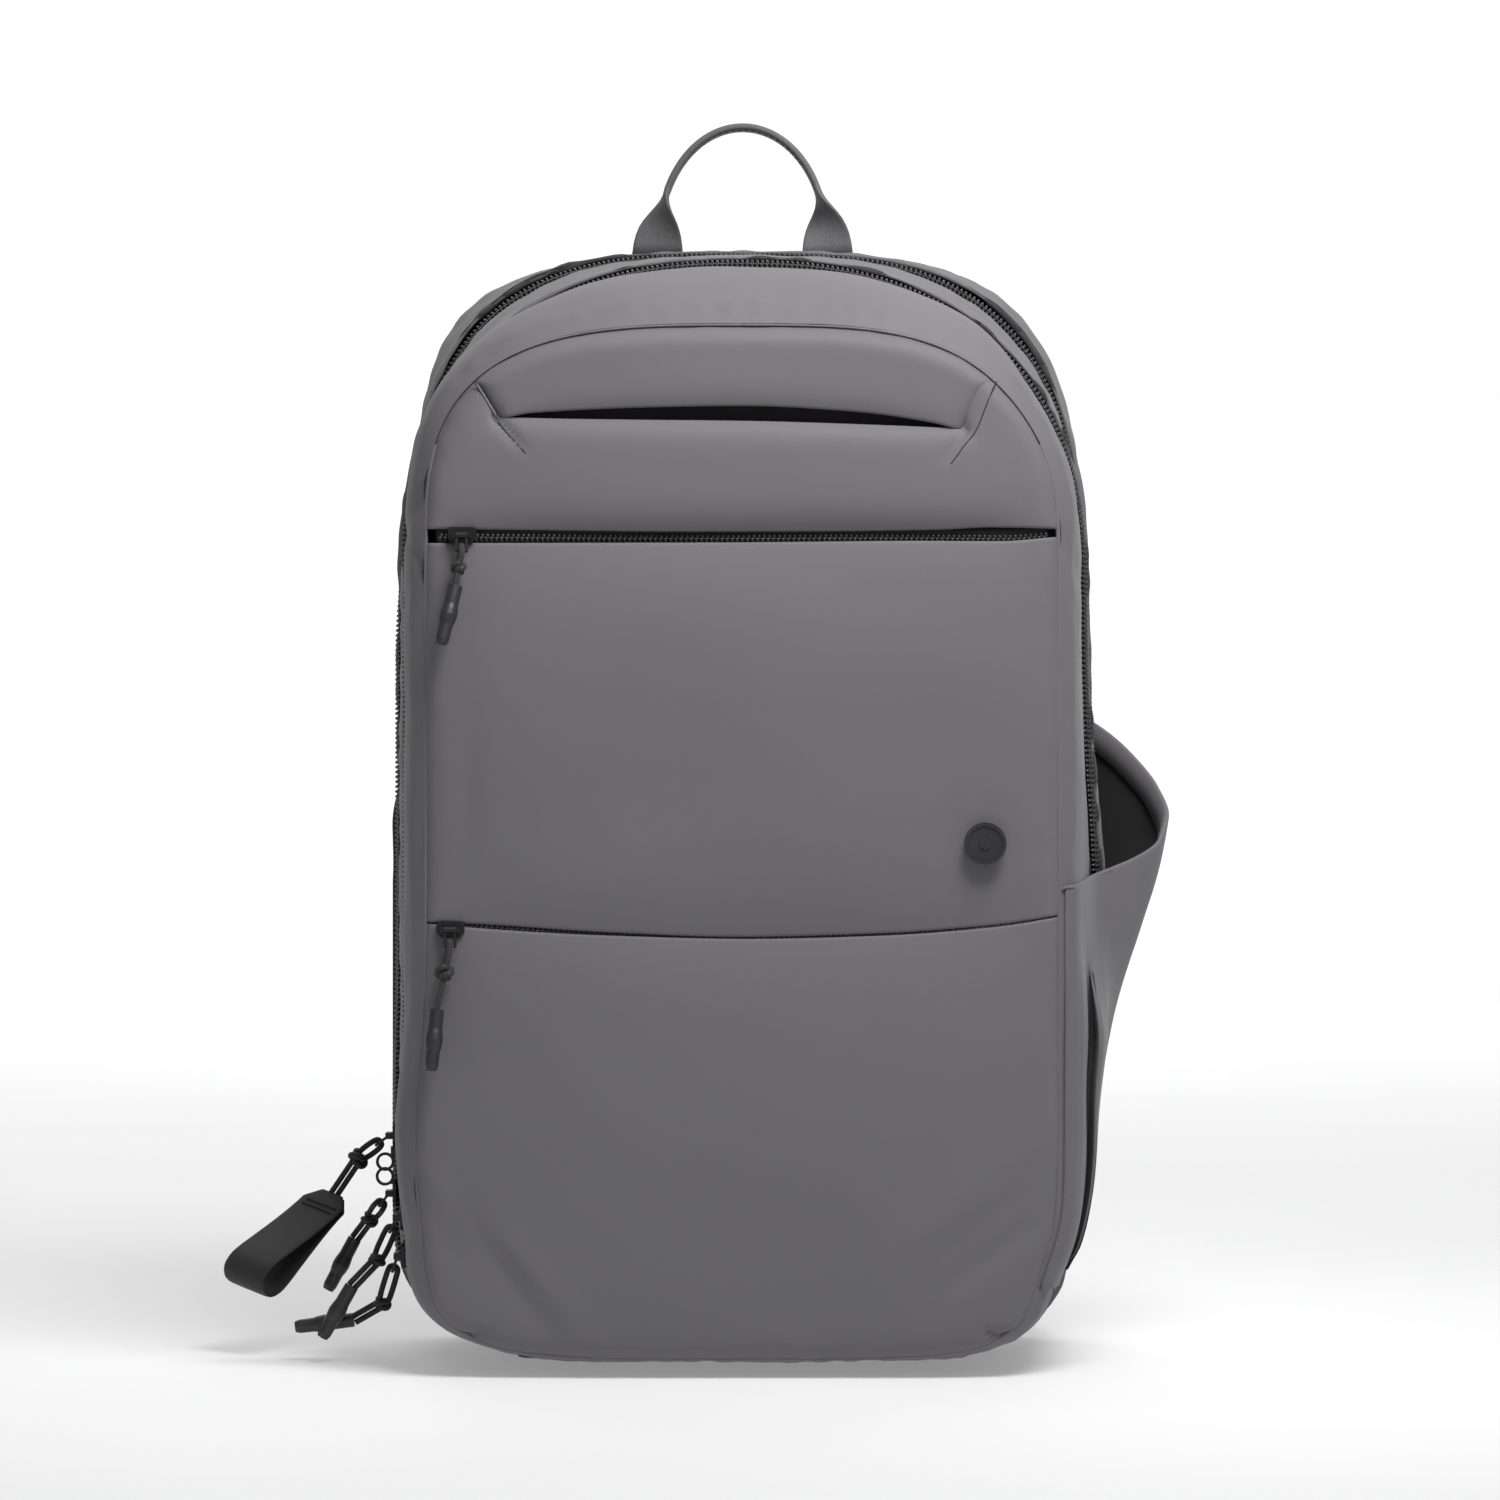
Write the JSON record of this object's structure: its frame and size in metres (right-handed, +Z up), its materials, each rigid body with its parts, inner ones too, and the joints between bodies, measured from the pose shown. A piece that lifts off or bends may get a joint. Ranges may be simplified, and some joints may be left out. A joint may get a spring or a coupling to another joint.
{
  "type": "backpack",
  "caption": "Soft daypack with a zipped front that folds forward, front zip pockets, an open bottle pocket, cord zip pullers, a webbing grab handle and a padded harness.",
  "frame": {"origin": "middle of the base panel's underside, on the ground the pack stands on", "axes": "+Z up, -Y the pack's front, +X towards the bottle pocket"},
  "size_m": [0.4264, 0.2383, 0.553],
  "materials": {
    "shell_fabric": "smooth stretch nylon, dark grey, faint fine weave",
    "lining_fabric": "thin smooth black lining",
    "spacer_mesh": "knitted spacer mesh over foam",
    "frame_plastic": "thin stiff sheet",
    "zip_tape": "black coil zip on woven tape",
    "badge_rubber": "moulded black rubber badge with a raised rim",
    "webbing": "ribbed woven webbing",
    "buckle_plastic": "moulded acetal, fine matte texture",
    "zip_metal": "black painted zinc casting",
    "puller_cord": "round braided cord",
    "tip_rubber": "moulded soft rubber sleeve"
  },
  "bodies": {
    "pack": {"rear_shell": "shell_fabric", "mid_gusset": "shell_fabric", "front_tub": "shell_fabric", "base_panel": "shell_fabric", "divider": "lining_fabric", "frame_sheet": "frame_plastic", "main_zip": "zip_tape", "rear_zip": "zip_tape", "bottle_pocket": "shell_fabric", "flat_pocket": "shell_fabric", "back_pads": "spacer_mesh", "lumbar_pad": "spacer_mesh", "strap_anchor_wings": "shell_fabric", "upper_pocket_base": "shell_fabric", "lower_pocket": "shell_fabric", "lower_pocket_zip": "zip_tape", "badge": "badge_rubber", "front_fold": "shell_fabric", "shoulder_strap_left": "shell_fabric", "shoulder_strap_right": "shell_fabric", "ladder_locks": "buckle_plastic", "strap_webbings": "webbing", "sternum_rails": "webbing"},
    "front_flap": {"front_shell": "shell_fabric", "main_zip_flap_tape": "zip_tape", "hood_panel": "shell_fabric", "welt_panel": "shell_fabric", "upper_pocket": "shell_fabric", "upper_pocket_zip": "zip_tape"},
    "handle": {"grab_handle": "webbing"},
    "sternum_strap": {"sternum_clips": "buckle_plastic", "sternum_webbing_left": "webbing", "sternum_webbing_right": "webbing", "sternum_socket": "buckle_plastic"},
    "sternum_plug_body": {"sternum_plug": "buckle_plastic"},
    "upper_slider_body": {"upper_slider": "zip_metal"},
    "upper_puller": {"upper_link": "zip_metal", "upper_cord": "puller_cord", "upper_tip": "tip_rubber"},
    "lower_slider_body": {"lower_slider": "zip_metal"},
    "lower_puller": {"lower_link": "zip_metal", "lower_cord": "puller_cord", "lower_tip": "tip_rubber"},
    "rear_a_slider_body": {"rear_a_slider": "zip_metal"},
    "rear_a_puller": {"rear_a_link": "zip_metal", "rear_a_cord": "puller_cord", "rear_a_loop": "webbing"},
    "rear_b_slider_body": {"rear_b_slider": "zip_metal"},
    "rear_b_puller": {"rear_b_link": "zip_metal", "rear_b_cord": "puller_cord", "rear_b_tip": "tip_rubber"},
    "main_a_slider_body": {"main_a_slider": "zip_metal"},
    "main_a_puller": {"main_a_link": "zip_metal", "main_a_cord": "puller_cord", "main_a_tip": "tip_rubber"},
    "main_b_slider_body": {"main_b_slider": "zip_metal"},
    "main_b_puller": {"main_b_link": "zip_metal", "main_b_cord": "puller_cord", "main_b_tip": "tip_rubber"}
  },
  "joints": [
    {"name": "flap_fold", "type": "hinge", "parent": "pack", "child": "front_flap", "pos_m": [0, -0.06, 0.27], "axis": [1, 0, 0], "range_deg": [0, 45], "deforming": ["front_fold"]},
    {"name": "upper_slide", "type": "slide", "parent": "front_flap", "child": "upper_slider_body", "axis": [1, 0, 0], "range_m": [0, 0.238]},
    {"name": "upper_pull", "type": "hinge", "parent": "upper_slider_body", "child": "upper_puller", "pos_m": [-0.12, -0.0945, 0.358], "axis": [-1, 0, 0], "range_deg": [0, 110]},
    {"name": "lower_slide", "type": "slide", "parent": "pack", "child": "lower_slider_body", "axis": [1, 0, 0], "range_m": [0, 0.243]},
    {"name": "lower_pull", "type": "hinge", "parent": "lower_slider_body", "child": "lower_puller", "pos_m": [-0.125, -0.0945, 0.189], "axis": [-1, 0, 0], "range_deg": [0, 110]},
    {"name": "rear_a_slide", "type": "slide", "parent": "pack", "child": "rear_a_slider_body", "axis": [0, 0, 1], "range_m": [0, 0.19]},
    {"name": "rear_a_pull", "type": "hinge", "parent": "rear_a_slider_body", "child": "rear_a_puller", "pos_m": [-0.1595, 0.025, 0.092], "axis": [0, 1, 0], "range_deg": [-8, 90]},
    {"name": "rear_b_slide", "type": "slide", "parent": "pack", "child": "rear_b_slider_body", "axis": [0, 0, 1], "range_m": [-0.015, 0.004]},
    {"name": "rear_b_pull", "type": "hinge", "parent": "rear_b_slider_body", "child": "rear_b_puller", "pos_m": [-0.1595, 0.025, 0.066], "axis": [0, 1, 0], "range_deg": [-20, 25]},
    {"name": "main_a_slide", "type": "slide", "parent": "pack", "child": "main_a_slider_body", "axis": [0, 0, 1], "range_m": [0, 0.235]},
    {"name": "main_a_pull", "type": "hinge", "parent": "main_a_slider_body", "child": "main_a_puller", "pos_m": [-0.15249, -0.028, 0.06], "axis": [0, 1, 0], "range_deg": [-8, 75]},
    {"name": "main_b_slide", "type": "slide", "parent": "pack", "child": "main_b_slider_body", "axis": [0, 0, 1], "range_m": [-0.003, 0.005]},
    {"name": "main_b_pull", "type": "hinge", "parent": "main_b_slider_body", "child": "main_b_puller", "pos_m": [-0.15209, -0.028, 0.043], "axis": [0, 1, 0], "range_deg": [-5, 45]},
    {"name": "handle_swing", "type": "hinge", "parent": "pack", "child": "handle", "pos_m": [0, 0.062, 0.4935], "axis": [1, 0, 0], "range_deg": [-70, 70], "stiffness_Nm_per_rad": 0.03},
    {"name": "sternum_height", "type": "slide", "parent": "pack", "child": "sternum_strap", "axis": [0, 0, 1], "range_m": [-0.028, 0.028]},
    {"name": "sternum_release", "type": "slide", "parent": "sternum_strap", "child": "sternum_plug_body", "axis": [1, 0, 0], "range_m": [0, 0.021], "deforming": ["sternum_webbing_right"]}
  ]
}
